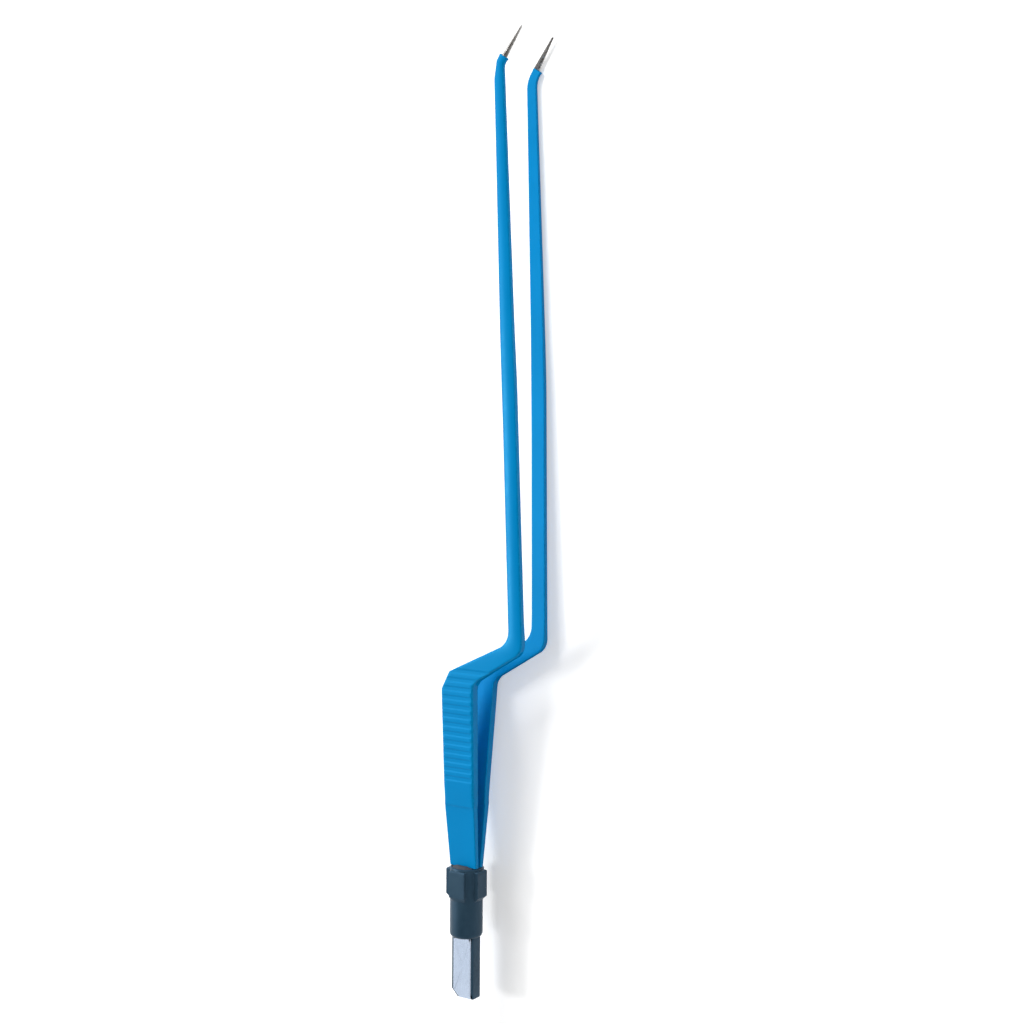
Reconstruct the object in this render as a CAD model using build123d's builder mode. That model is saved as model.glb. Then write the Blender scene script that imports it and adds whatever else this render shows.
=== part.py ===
from build123d import *
from math import atan2, cos, degrees, radians, sin, tan
import os

# Bipolar forceps with bayonet blades and a flat two-contact plug, lying on its lower blade.
# Millimetres. X runs from the plug end to the tips, Z is the squeeze direction, and the
# blades are offset towards -Y. The two blades mirror each other about a level middle plane.

# Whole object
overall_length = 250.0
shaft_offset = 20.95        # outer side of the bayonet, from the plug's axis
rest_height = 8.2           # middle plane above the surface that the lower blade lies on

# Flat plug
core_width = 6.7
core_thickness = 3.45
core_root = 1.2             # the core's run inside the barrel
key_chamfer = 1.9
core_edge = 0.35
contact_width = 5.7
contact_thickness = 0.8
contact_proud = 0.2
contact_end_gap = 0.2       # bare strip ends short of the barrel
contact_tail_thickness = contact_thickness - contact_proud
contact_tail = 10.3
contact_lead_in = 0.45

# Barrel and collar
barrel_radius = 4.36
barrel_start = 16.3         # also how much of the core stands free
barrel_round = 1.1
collar_top = 35.0           # rim of the well
lug_top = 34.35
lug_start = 25.4
lug_ramp = 2.0
lug_bevel = 0.5
lug_near_width = 4.9        # lugs that face up and down
lug_near_reach = 4.6
lug_side_width = 4.3        # lugs that face sideways
lug_side_reach = 5.15
well_radius = 3.8           # round well that the blades are sealed into
well_floor = 27.4

# Seal and tangs
seal_crown = 0.5
seal_shoulder = 2.6
seal_to_coat = 0.3
tang_lift = 0.9             # foot of the tangs above the well's floor
tang_width = 6.2
tang_inner = 0.55
tang_thickness = 0.9
tang_side_clearance = 0.15
tang_face_clearance = 0.3
hinge_x = 31.5
shoulder_run = 0.8

# Insulating coat over each blade
coat = 0.25
coat_start = 35.15

# Blade, plan view: (x, y) corners of the coat's outline, left side then right side
crease_x = 51.6
heel_flat_low, heel_flat_high, heel_flat_round = (82.7, 4.33), (87.5, 1.75), 1.5
elbow_left, elbow_left_round = (96.15, -16.95), 7.0
mid_left = (150.0, -15.6)
bend_left_back, bend_left_y, bend_left_round = 10.1, -12.35, 3.5
heel_right, heel_right_round = (84.7, -5.78), 4.0
elbow_right, elbow_right_round = (94.0, -21.1), 4.2
mid_right = (162.0, -18.98)
bend_right_back, bend_right_y, bend_right_round = 11.0, -15.25, 4.0
spring_half_width = 4.2
crease_half_width = 4.7
grip_half_width = 4.8
grip_start = 57.0
tip_turn = 34.0             # the bare tip's angle to the plug's axis, degrees

# Blade, side view: (x, z) corners of the coat's outer and inner faces above the middle plane
line_overrun = 12.0         # both lines run on past the tip's end by this much
line_end = overall_length + line_overrun
outer_line = [(crease_x, 3.72), (84.0, 6.25), (172.0, 7.95), (line_end, 8.25)]
inner_line = [(grip_start, 1.65), (86.0, 3.6), (102.0, 4.72), (176.0, 6.43), (line_end, 7.1)]
inner_crease = 1.45
spring_outer, spring_inner = 3.62, 1.65
crease_overlap = 0.4
gentle_arc = 6.0            # length of the arc at a slight change of direction
grip_arc = 2.0

# Edges
forged_edge = 0.4           # rounded, along the outer face
inner_edge = 0.3            # chamfered, along the face towards the other blade
shortest_edge = 0.05
spring_edge = 0.3

# Cross grooves of the grip
groove_pitch = 2.4
groove_count = 13
groove_first = 59.0
groove_mouth, groove_floor = 1.25, 0.6
groove_depth = 0.42

# Bare tip, its places measured back from the overall length
cut_back, cut_y = 7.28, -15.58
tip_end_back, tip_end_y = 0.12, -20.55
tip_base_width, tip_base_thickness = 1.75, 0.8
tip_end_width, tip_end_thickness = 0.5, 0.5
tip_base_z, tip_end_z = 7.55, 7.12
tip_corner = 0.2
tip_bevel = 0.12
tip_overrun = 20.0          # outlines run on past the coat's cut by this much

# Where the plug's end and axis lie in the frame
plug_x = -overall_length / 2
plug_y = (shaft_offset - lug_side_reach) / 2

# Corners that follow from the sizes above
bend_left = (overall_length - bend_left_back, bend_left_y)
bend_right = (overall_length - bend_right_back, bend_right_y)
coat_cut = (overall_length - cut_back, cut_y)
tip_end = (overall_length - tip_end_back, tip_end_y)
tang_foot = well_floor + tang_lift
shoulder_start = coat_start + tang_side_clearance
shoulder_end = shoulder_start + shoulder_run


def level(z):
    """Level plane at height z above the middle plane, x along the length."""
    return Plane(origin=(plug_x, plug_y, rest_height + z), x_dir=(1, 0, 0), z_dir=(0, 0, 1))


def side(y):
    """Upright plane along the length, seen from the bayonet's side."""
    return Plane(origin=(plug_x, plug_y + y, rest_height), x_dir=(1, 0, 0), z_dir=(0, -1, 0))


def across(x):
    """Upright plane across the plug at distance x from its end, facing the tips."""
    return Plane(origin=(plug_x + x, plug_y, rest_height), x_dir=(0, 1, 0), z_dir=(1, 0, 0))


def beyond(corner, turn, reach):
    """Point at a distance from a corner in the direction of the turned tip."""
    return (corner[0] + reach * cos(radians(turn)), corner[1] - reach * sin(radians(turn)))


def near_corner(vertices, corner):
    """The vertex of a sketch that lies at a plan or side corner."""
    return vertices.sort_by_distance((corner[0], corner[1], 0))[0]


tip_run = (tip_end[0] - coat_cut[0], tip_end[1] - coat_cut[1], tip_end_z - tip_base_z)
tip_length = (tip_run[0] ** 2 + tip_run[1] ** 2 + tip_run[2] ** 2) ** 0.5
tip_base = Plane(
    origin=(plug_x + coat_cut[0], plug_y + coat_cut[1], rest_height + tip_base_z),
    x_dir=(-tip_run[1], tip_run[0], 0), z_dir=tip_run,
)
middle = level(0)
blade_top = 1.5 * outer_line[-1][1]
sideways = 2 * shaft_offset
face_slope = atan2(outer_line[1][1] - outer_line[0][1], outer_line[1][0] - outer_line[0][0])
grooves = [
    (groove_first + i * groove_pitch,
     outer_line[0][1] + (groove_first + i * groove_pitch - crease_x) * tan(face_slope))
    for i in range(groove_count)
]


def eased(sketch, corners, arc_length):
    """Radius at each middle corner of a nearly straight run whose arc has the given length."""
    for before, corner, after in zip(corners, corners[1:], corners[2:]):
        first = atan2(corner[1] - before[1], corner[0] - before[0])
        turn = abs(atan2(after[1] - corner[1], after[0] - corner[0]) - first)
        fillet(near_corner(sketch.vertices(), corner), arc_length / turn)


def long_edges(form, facing):
    """Edges along the outer (1) or inner (-1) face of a blade, without those across it."""
    broad = form.faces().filter_by(lambda face: face.normal_at().Z * facing > 0.9)
    return broad.edges().filter_by(
        lambda edge: abs(edge.tangent_at(0.5).Y) < 0.99 and edge.length > shortest_edge
    ).filter_by_position(Axis.X, plug_x + crease_x, plug_x + tip_end[0])


def forged_form(inset, edge):
    """Upper blade from the crease past the tip's bend, inset from the coat's outside."""
    start_x = crease_x - inset
    left_end = beyond(bend_left, tip_turn, tip_overrun)
    right_end = beyond(bend_right, tip_turn, tip_overrun)
    with BuildPart() as form:
        with BuildSketch(level(0)) as plan:
            with BuildLine():
                Polyline(
                    (start_x, crease_half_width), (grip_start, grip_half_width), heel_flat_low,
                    heel_flat_high, elbow_left, mid_left, bend_left, left_end, right_end,
                    bend_right, mid_right, elbow_right, heel_right,
                    (grip_start, -grip_half_width), (start_x, -crease_half_width), close=True,
                )
            make_face()
            for turn, heel in ((1, heel_flat_low), (-1, heel_right)):
                crease, grip = (start_x, turn * crease_half_width), (grip_start, turn * grip_half_width)
                eased(plan, (crease, grip, heel), grip_arc)
            eased(plan, (elbow_left, mid_left, bend_left), gentle_arc)
            eased(plan, (elbow_right, mid_right, bend_right), gentle_arc)
            for corner, radius in (
                (heel_flat_low, heel_flat_round), (heel_flat_high, heel_flat_round),
                (elbow_left, elbow_left_round), (bend_left, bend_left_round),
                (heel_right, heel_right_round), (elbow_right, elbow_right_round),
                (bend_right, bend_right_round),
            ):
                fillet(near_corner(plan.vertices(), corner), radius)
            offset(amount=-inset, kind=Kind.INTERSECTION)
        extrude(amount=blade_top)
        with BuildSketch(side(-sideways)) as profile:
            with BuildLine():
                Polyline(
                    (start_x, outer_line[0][1]), *outer_line[1:], *reversed(inner_line),
                    (start_x, inner_crease), close=True,
                )
            make_face()
            eased(profile, outer_line, gentle_arc)
            eased(profile, [(start_x, inner_crease)] + inner_line, gentle_arc)
            offset(amount=-inset, kind=Kind.INTERSECTION)
        extrude(amount=-2 * sideways, mode=Mode.INTERSECT)
        if edge:
            fillet(long_edges(form, 1), edge)
            chamfer(long_edges(form, -1), inner_edge)
        with BuildSketch(side(-sideways)):
            with Locations(*grooves):
                Polygon(
                    (-groove_mouth / 2, groove_depth), (-groove_mouth / 2, 0),
                    (-groove_floor / 2, -groove_depth), (groove_floor / 2, -groove_depth),
                    (groove_mouth / 2, 0), (groove_mouth / 2, groove_depth),
                    rotation=degrees(face_slope), align=None,
                )
            offset(amount=inset, kind=Kind.INTERSECTION)
        extrude(amount=-2 * sideways, mode=Mode.SUBTRACT)
    return form.part


def spring_form(inset, edge):
    """Thin springing length of the upper blade, between the shoulders and the crease."""
    start_x, end_x = coat_start - inset, crease_x + crease_overlap + inset
    with BuildPart() as form:
        with BuildSketch(level(0)):
            with BuildLine():
                Polyline(
                    (start_x, spring_half_width), (end_x, crease_half_width),
                    (end_x, -crease_half_width), (start_x, -spring_half_width), close=True,
                )
            make_face()
            offset(amount=-inset, kind=Kind.INTERSECTION)
        extrude(amount=blade_top)
        with BuildSketch(side(-sideways)):
            with BuildLine():
                Polyline(
                    (start_x, tang_inner + tang_thickness + coat), (end_x, spring_outer),
                    (end_x, spring_inner), (start_x, tang_inner - coat), close=True,
                )
            make_face()
            offset(amount=-inset, kind=Kind.INTERSECTION)
        extrude(amount=-2 * sideways, mode=Mode.INTERSECT)
        if edge:
            fillet(form.edges().filter_by(lambda e: e.length > crease_x - shoulder_end), edge)
    return form.part


def contact_form():
    """Flat strip of the upper contact: the bare length and the thinner tail behind it."""
    underside = level(core_thickness / 2 + contact_proud - contact_thickness)
    bare_length = barrel_start - contact_end_gap
    with BuildPart() as form:
        for length, thickness in (
            (bare_length, contact_thickness), (barrel_start + contact_tail, contact_tail_thickness),
        ):
            with BuildSketch(underside):
                with Locations((length / 2, 0)):
                    Rectangle(length, contact_width)
            extrude(amount=thickness)
    return form.part


coat_outside = forged_form(0, forged_edge)
steel_outside = forged_form(coat, 0)
spring_outside = spring_form(0, spring_edge)
spring_steel = spring_form(coat, 0)

# Upper blade: tang, springing length, grip, arm, shaft and bare tip in one piece of steel
with BuildPart() as blade_upper:
    add(steel_outside)
    split(bisect_by=tip_base, keep=Keep.BOTTOM)
    with BuildSketch(tip_base):
        RectangleRounded(tip_base_width, tip_base_thickness, tip_corner)
    with BuildSketch(tip_base.offset(tip_length)):
        RectangleRounded(tip_end_width, tip_end_thickness, tip_corner)
    loft()
    chamfer(blade_upper.faces().sort_by(Axis.X)[-1].edges(), tip_bevel)
    add(spring_steel)
    with BuildSketch(level(tang_inner)):
        with BuildLine():
            Polyline(
                (tang_foot, tang_width / 2), (shoulder_start, tang_width / 2),
                (shoulder_end, spring_half_width - coat), (shoulder_end, -spring_half_width + coat),
                (shoulder_start, -tang_width / 2), (tang_foot, -tang_width / 2), close=True,
            )
        make_face()
    extrude(amount=tang_thickness)

# Insulating coat of the upper blade, from just above the seal to the bare tip
with BuildPart() as coat_upper:
    add(coat_outside)
    split(bisect_by=tip_base, keep=Keep.BOTTOM)
    add(spring_outside)
    add(blade_upper.part, mode=Mode.SUBTRACT)

# Lower blade and its coat, mirrored about the middle plane
with BuildPart() as blade_lower:
    mirror(blade_upper.part, about=middle)
with BuildPart() as coat_lower:
    mirror(coat_upper.part, about=middle)

# Plug body: flat core, barrel and collar in one insulating moulding
with BuildPart() as plug_body:
    with BuildSketch(level(-core_thickness / 2)) as core_plan:
        with Locations(((barrel_start + core_root) / 2, 0)):
            Rectangle(barrel_start + core_root, core_width)
        chamfer(core_plan.vertices().sort_by_distance((0, core_width / 2, 0))[0], key_chamfer)
    extrude(amount=core_thickness)
    fillet(plug_body.edges().filter_by(Axis.X), core_edge)
    with BuildSketch(level(0)) as barrel_profile:
        with BuildLine():
            Polyline(
                (barrel_start, 0), (barrel_start, barrel_radius), (collar_top, barrel_radius),
                (collar_top, 0), close=True,
            )
        make_face()
        fillet(near_corner(barrel_profile.vertices(), (barrel_start, barrel_radius)), barrel_round)
    revolve(axis=Axis((plug_x, plug_y, rest_height), (1, 0, 0)))
    for turn, width, reach in (
        (0, lug_side_width, lug_side_reach), (90, lug_near_width, lug_near_reach),
        (180, lug_side_width, lug_side_reach), (270, lug_near_width, lug_near_reach),
    ):
        face_on = Plane(
            origin=(plug_x, plug_y, rest_height), x_dir=(1, 0, 0),
            z_dir=(0, cos(radians(turn)), sin(radians(turn))),
        )
        upright = Plane(origin=face_on.origin, x_dir=(1, 0, 0), z_dir=-face_on.y_dir)
        with BuildSketch(upright.offset(-width / 2)):
            with BuildLine():
                Polyline(
                    (lug_start, 0), (lug_start, reach - lug_ramp), (lug_start + lug_ramp, reach),
                    (lug_top - lug_bevel, reach), (lug_top, reach - lug_bevel),
                    (lug_top, 0), close=True,
                )
            make_face()
        extrude(amount=width)
    with BuildSketch(across(well_floor)):
        Circle(well_radius)
    extrude(amount=collar_top, mode=Mode.SUBTRACT)
    strip = contact_form()
    add(strip, mode=Mode.SUBTRACT)
    mirror(strip, about=middle, mode=Mode.SUBTRACT)

# Contact strip on each face of the core, with its tail moulded into the barrel
with BuildPart() as contact_upper:
    add(contact_form())
    chamfer(
        contact_upper.edges().filter_by(Axis.Z).group_by(Axis.X)[0].sort_by(Axis.Y)[-1],
        key_chamfer,
    )
    lead_edge = contact_upper.faces().sort_by(Axis.X)[0].edges().sort_by(Axis.Z)[-1]
    chamfer(lead_edge, contact_lead_in)
with BuildPart() as contact_lower:
    mirror(contact_upper.part, about=middle)

# Seal: a domed plug of hard potting in the well, with a slot that each tang flexes in
with BuildPart() as seal:
    with BuildSketch(level(0)) as seal_profile:
        with BuildLine():
            Polyline(
                (well_floor, 0), (well_floor, well_radius), (collar_top, well_radius),
                (collar_top + seal_crown, seal_shoulder), (collar_top + seal_crown, 0),
                close=True,
            )
        make_face()
    revolve(axis=Axis((plug_x, plug_y, rest_height), (1, 0, 0)))
    slot_z = tang_inner + tang_thickness / 2
    with BuildSketch(across(tang_foot - tang_face_clearance)):
        with Locations((0, slot_z), (0, -slot_z)):
            Rectangle(tang_width + 2 * tang_side_clearance, tang_thickness + 2 * tang_face_clearance)
    extrude(amount=collar_top, mode=Mode.SUBTRACT)
    with BuildSketch(across(coat_start - seal_to_coat)):
        Rectangle(2 * collar_top, 2 * (tang_inner + tang_thickness + coat + seal_to_coat))
    extrude(amount=collar_top, mode=Mode.SUBTRACT)

os.makedirs("parts", exist_ok=True)
blade_upper.part.label = "blade_upper"
export_step(blade_upper.part, "parts/blade_upper.step")
blade_lower.part.label = "blade_lower"
export_step(blade_lower.part, "parts/blade_lower.step")
coat_upper.part.label = "coat_upper"
export_step(coat_upper.part, "parts/coat_upper.step")
coat_lower.part.label = "coat_lower"
export_step(coat_lower.part, "parts/coat_lower.step")
plug_body.part.label = "plug_body"
export_step(plug_body.part, "parts/plug_body.step")
contact_upper.part.label = "contact_upper"
export_step(contact_upper.part, "parts/contact_upper.step")
contact_lower.part.label = "contact_lower"
export_step(contact_lower.part, "parts/contact_lower.step")
seal.part.label = "seal"
export_step(seal.part, "parts/seal.step")

# Closing angle at which the bare tips meet, and the reach of the whole object
tip_gap = 0.03
lever = tip_end[0] - hinge_x
closing = degrees(atan2(tip_end_z - tip_end_thickness / 2 - tip_gap, lever))
print("closing angle about", round(closing, 3), "degrees")
print("hinges at", [round(v, 3) for v in (plug_x + hinge_x, plug_y, rest_height + slot_z)])
for piece in (blade_upper, coat_upper, plug_body, seal, contact_upper):
    print(piece.part.label, [tuple(round(c, 3) for c in v) for v in (
        piece.part.bounding_box().min, piece.part.bounding_box().max)])
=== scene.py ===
# %% [markdown]
# # Bipolar forceps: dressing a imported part
#
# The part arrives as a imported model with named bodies: the plug, the upper blade and the lower
# blade. This notebook builds the surfaces that are seen, gives each a finish, lights them and
# sets the camera. Every piece rides on a body, so the blades still close on their joints.

# %% Start
import math

import bpy
import numpy as np
from mathutils import Matrix, Vector


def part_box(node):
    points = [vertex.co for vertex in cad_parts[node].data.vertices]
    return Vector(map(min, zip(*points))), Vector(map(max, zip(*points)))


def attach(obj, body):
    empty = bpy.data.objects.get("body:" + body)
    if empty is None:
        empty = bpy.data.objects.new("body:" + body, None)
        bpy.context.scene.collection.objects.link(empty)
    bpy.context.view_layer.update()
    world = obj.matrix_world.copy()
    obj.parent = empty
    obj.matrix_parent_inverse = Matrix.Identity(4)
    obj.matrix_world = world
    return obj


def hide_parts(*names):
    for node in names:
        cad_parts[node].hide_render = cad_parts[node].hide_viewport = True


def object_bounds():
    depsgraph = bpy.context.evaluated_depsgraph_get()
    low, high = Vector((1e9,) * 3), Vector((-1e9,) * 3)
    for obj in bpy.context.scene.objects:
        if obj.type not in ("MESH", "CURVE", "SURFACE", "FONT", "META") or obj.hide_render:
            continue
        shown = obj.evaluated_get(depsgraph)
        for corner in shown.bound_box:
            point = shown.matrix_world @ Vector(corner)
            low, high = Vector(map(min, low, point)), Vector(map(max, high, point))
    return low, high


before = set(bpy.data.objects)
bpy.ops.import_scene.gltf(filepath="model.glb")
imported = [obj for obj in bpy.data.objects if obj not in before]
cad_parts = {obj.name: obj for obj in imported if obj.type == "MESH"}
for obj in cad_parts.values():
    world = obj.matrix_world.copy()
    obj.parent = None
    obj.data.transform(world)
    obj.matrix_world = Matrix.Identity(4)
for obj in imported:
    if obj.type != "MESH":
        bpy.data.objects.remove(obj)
cad_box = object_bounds()
MM = 0.001

# %% [markdown]
# ## Where things are
#
# All sizes below are millimetres measured from the plug: x along the instrument from the plug's
# end, y sideways from its axis, z up from the level plane between the two blades. The plug's
# own box in the frame says where that point is, so nothing has to be typed twice.

# %% Origin from the frame
plug_low, plug_high = (np.array(corner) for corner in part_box("plug_body"))
ORIGIN = np.array([plug_low[0], (plug_low[1] + plug_high[1]) / 2, (plug_low[2] + plug_high[2]) / 2])
print("origin of the measurements (m):", ORIGIN.round(5))


def smooth(x, low, high):
    """Rises from 0 at low to 1 at high along 3 s squared minus 2 s cubed, s the share between."""
    s = np.clip((x - low) / (high - low), 0, 1)
    return s * s * (3 - 2 * s)


# %% [markdown]
# ## From arrays to meshes
#
# Every new piece is a grid: rows of points along the piece, each row a closed loop around it.
# One helper turns such a grid into a mesh, joins the loop's end to its start and closes both
# ends with a fan. Whole arrays of face corners are built at once, which is quick even for the
# long blades.

# %% Grid to mesh helper
def tube_faces(rows, loop, first=0):
    """Quads between neighbouring rows: corner (i, j) joins (i, j+1), (i+1, j+1) and (i+1, j)."""
    i, j = np.meshgrid(np.arange(rows - 1), np.arange(loop), indexing="ij")
    nxt = (j + 1) % loop
    quads = np.stack([i * loop + j, i * loop + nxt, (i + 1) * loop + nxt, (i + 1) * loop + j], -1)
    return quads.reshape(-1, 4) + first


def cap_faces(start, loop, centre, flip):
    """Triangles from each edge of a loop to one centre point."""
    j = np.arange(loop)
    tri = np.stack([start + j, start + (j + 1) % loop, np.full(loop, centre)], -1)
    return tri[:, ::-1] if flip else tri


def make_piece(name, shells, values, sharp=35):
    """One mesh from closed shells, each a (rows, loop, 3) grid in mm from the plug's end.

    values holds one (rows, loop) array a shell, which is kept as the point attribute "edge".
    """
    points, polygons, marks = [], [], []
    for k, grid in enumerate(shells):
        rows, loop = grid.shape[:2]
        first = sum(len(p) for p in points)
        ends = np.stack([grid[0].mean(0), grid[-1].mean(0)])
        body = np.concatenate([grid.reshape(-1, 3), ends])
        centre = first + rows * loop
        points.append(body)
        faces = [tube_faces(rows, loop, first), cap_faces(first, loop, centre, True),
                 cap_faces(first + (rows - 1) * loop, loop, centre + 1, False)]
        polygons += [face.tolist() for face in faces]
        marks.append(np.append(values[k].ravel(), (0, 0)))
    points = np.concatenate(points) * MM + ORIGIN
    mesh = bpy.data.meshes.new(name)
    mesh.from_pydata(points, [], [face for group in polygons for face in group])
    mesh.attributes.new("edge", "FLOAT", "POINT").data.foreach_set(
        "value", np.concatenate(marks).astype(np.float32))
    mesh.shade_smooth()
    mesh.set_sharp_from_angle(angle=math.radians(sharp))
    mesh.validate()
    piece = bpy.data.objects.new(name, mesh)
    bpy.context.collection.objects.link(piece)
    print(f"{name}: {len(mesh.vertices)} points, {len(mesh.polygons)} faces")
    return piece


# %% [markdown]
# ## The outline of a blade
#
# Seen from above, a blade is a drawing with a few corners: the thin spring that leaves the
# plug, the wide grip, the heel, the steep arm, the elbow, the long shaft and the bend before
# the tip. Each side of it is a list of corners, and each corner has a rounding radius. Rounding
# the corners by formula keeps the drawing short, and the corner numbers make a shared scale, so
# that the left and right side can be joined straight across.

# %% Rounded outlines
def rounded_path(corners):
    """Dense points along a path of (mark, x, y, radius) corners, with the mark at each point.

    A corner with a turn T is cut back by radius times tan(T/2) and replaced by its arc. The
    mark grows evenly with length from the middle of one arc to the middle of the next.
    """
    table = np.array(corners, float)
    marks, spots, radii = table[:, 0], table[:, 1:3], table[:, 3]
    pieces, middles, length = [spots[:1]], [0.0], 0.0
    for k in range(1, len(spots) - 1):
        back, ahead = spots[k - 1] - spots[k], spots[k + 1] - spots[k]
        back, ahead = back / np.hypot(*back), ahead / np.hypot(*ahead)
        turn = math.pi - math.acos(np.clip(back @ ahead, -1, 1))
        cut = radii[k] * math.tan(turn / 2)
        inward = (back + ahead) / np.hypot(*(back + ahead))
        centre = spots[k] + inward * radii[k] / math.cos(turn / 2)
        begin, angle = spots[k] + back * cut - centre, np.linspace(0, turn, 25)
        side = np.sign(back[0] * ahead[1] - back[1] * ahead[0])
        spin = -side * angle
        arc = centre + np.stack([begin[0] * np.cos(spin) - begin[1] * np.sin(spin),
                                 begin[0] * np.sin(spin) + begin[1] * np.cos(spin)], -1)
        length += np.hypot(*(arc[0] - pieces[-1][-1])) + radii[k] * turn / 2
        middles.append(length)
        length += radii[k] * turn / 2
        pieces.append(arc)
    length += np.hypot(*(spots[-1] - pieces[-1][-1]))
    middles.append(length)
    path = np.concatenate(pieces + [spots[-1:]])
    run = np.append(0, np.cumsum(np.hypot(*np.diff(path, axis=0).T)))
    return np.interp(run, np.array(middles) * run[-1] / length, marks), path


TIP_TURN = math.radians(34)
TIP_AHEAD = np.array([math.cos(TIP_TURN), -math.sin(TIP_TURN)])
COAT_CUT = np.array([242.72, -15.58])


def on_cut(corner, shorter):
    """Where a line from a corner in the tip's direction meets the square cut of the coat."""
    corner = np.array(corner)
    return corner + TIP_AHEAD * ((COAT_CUT - corner) @ TIP_AHEAD - shorter)


COAT_START = 35.15
CREASE_X = 51.6
ROWS_BETWEEN_MARKS = (40, 50, 420, 170, 90, 100)
stations = np.concatenate(
    [np.linspace(k, k + 1, rows, endpoint=False) for k, rows in enumerate(ROWS_BETWEEN_MARKS)]
    + [np.linspace(6, 7, 40)])


def blade_plan(bend_left, bend_right, shorter):
    """Left and right plan points at every station, read off each rounded side by mark.

    A bend is a list of (mark, x, y, radius) corners; shorter is how much earlier the coat is cut.
    """
    left_side = [
        (0, COAT_START, 4.2, 0), (1, CREASE_X, 4.7, 3), (2, 57.0, 4.8, 20), (2.9, 82.7, 4.33, 0.7),
        (3.1, 87.5, 1.75, 0.7), (4, 96.3, -16.93, 5), (5, 150.0, -15.6, 400), *bend_left,
        (7, *on_cut(bend_left[-1][1:3], shorter), 0),
    ]
    right_side = [
        (0, COAT_START, -4.2, 0), (1, CREASE_X, -4.7, 3), (2, 57.0, -4.8, 20), (3, 84.7, -5.78, 4),
        (4, 94.0, -21.08, 4.2), (5, 162.0, -19.15, 400), *bend_right,
        (7, *on_cut(bend_right[-1][1:3], shorter), 0),
    ]
    sides = []
    for corners in (left_side, right_side):
        mark, path = rounded_path(corners)
        sides.append(np.stack([np.interp(stations, mark, path[:, k]) for k in (0, 1)], -1))
    return sides


# The upper bend is later and sharper than the lower one, and the lower coat is cut earlier.
upper_plan = blade_plan([(5.93, 237.6, -12.62, 6), (6, 242.0, -13.3, 0.6)],
                        [(6, 240.6, -15.38, 1.5)], 0)
lower_plan = blade_plan([(6, 239.7, -12.6, 7)], [(6, 239.4, -15.35, 5)], 0.42)
print("stations:", len(stations), "widest:", np.hypot(*(upper_plan[0] - upper_plan[1]).T).max().round(2))

# %% [markdown]
# ## The thickness of a blade
#
# Seen from the side, the outer and the inner face are each a nearly straight line with soft
# changes of direction: steep while the blades part, then almost parallel. The heights depend on
# x alone, as if the drawing had been pushed through from the side. At the crease the forging
# grows thicker, which is the small step below the finger grip.

# %% Outer and inner height
def soft_line(x, knots, reach):
    """Height of a broken line at x, averaged over a window of the given reach to round it."""
    knots = np.array(knots, float)
    shifts = np.linspace(-reach, reach, 9)
    return np.mean([np.interp(x + s, knots[:, 0], knots[:, 1]) for s in shifts], axis=0)


def outer_height(x):
    """Height of the outer face: the spring's line, then the forging's from the crease on."""
    spring = soft_line(x, [(30, 1.1), (COAT_START, 1.7), (52.0, 3.62), (60, 4.6)], 1.0)
    forged = soft_line(x, [(40, 2.81), (84.0, 6.25), (172.0, 7.95), (262.0, 8.25)], 6.0)
    return spring + (forged - spring) * smooth(x, CREASE_X - 0.35, CREASE_X + 0.35)


def inner_height(x):
    """Height of the face towards the other blade, changed over at the crease as well."""
    spring = soft_line(x, [(30, -0.1), (COAT_START, 0.3), (52.0, 1.65), (60, 2.3)], 1.0)
    forged = soft_line(x, [(45, 1.2), (CREASE_X, 1.45), (57.0, 1.65), (86.0, 3.6), (102.0, 4.72),
                           (176.0, 6.43), (262.0, 7.1)], 1.5)
    return spring + (forged - spring) * smooth(x, CREASE_X - 0.2, CREASE_X + 0.8)


print("thickness at grip and shaft:",
      [round(float(outer_height(x) - inner_height(x)), 2) for x in (45, 54, 70, 110, 200, 240)])

# %% [markdown]
# ## The cross grooves
#
# Shallow channels with a flat floor and sloping walls run straight across the outer face, with
# narrow lands between them. Taking the lower of the plain surface and the cut surface works like
# a milling cutter: where the edge of the grip already falls away, the channel runs out by itself,
# which gives the grip its wavy border.

# %% Groove depth along x
GROOVE_FIRST, GROOVE_PITCH, GROOVES = 59.0, 2.4, 13
GROOVE_DEPTH, GROOVE_FLOOR, GROOVE_WIDTH = 0.11, 0.7, 1.7


def groove_cut(x):
    """Depth of the cut at x: full on a channel's flat floor, none past half its width."""
    nearest = np.clip(np.round((x - GROOVE_FIRST) / GROOVE_PITCH), 0, GROOVES - 1)
    off = np.abs(x - GROOVE_FIRST - nearest * GROOVE_PITCH)
    return GROOVE_DEPTH * (1 - smooth(off, GROOVE_FLOOR / 2, GROOVE_WIDTH / 2))


# %% [markdown]
# ## The coated blade as one surface
#
# At each station a rounded bar section is set between the left and the right side. Its corner
# radius is large on the finger grip and small on the shaft. The section's height at every point
# comes from that point's own x, so the surface keeps the flat faces of the forging even where
# the section runs slantwise across the arm.

# %% Section of the blade
COAT = 0.25
CROWN = 0.3
HEEL_END, ARM_START = 88, 100
BAR_ROUNDING, GRIP_EXTRA, SHAFT_EXTRA, SHAFT_UNDER_LESS = 0.26, 0.45, 0.09, 0.06


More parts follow.
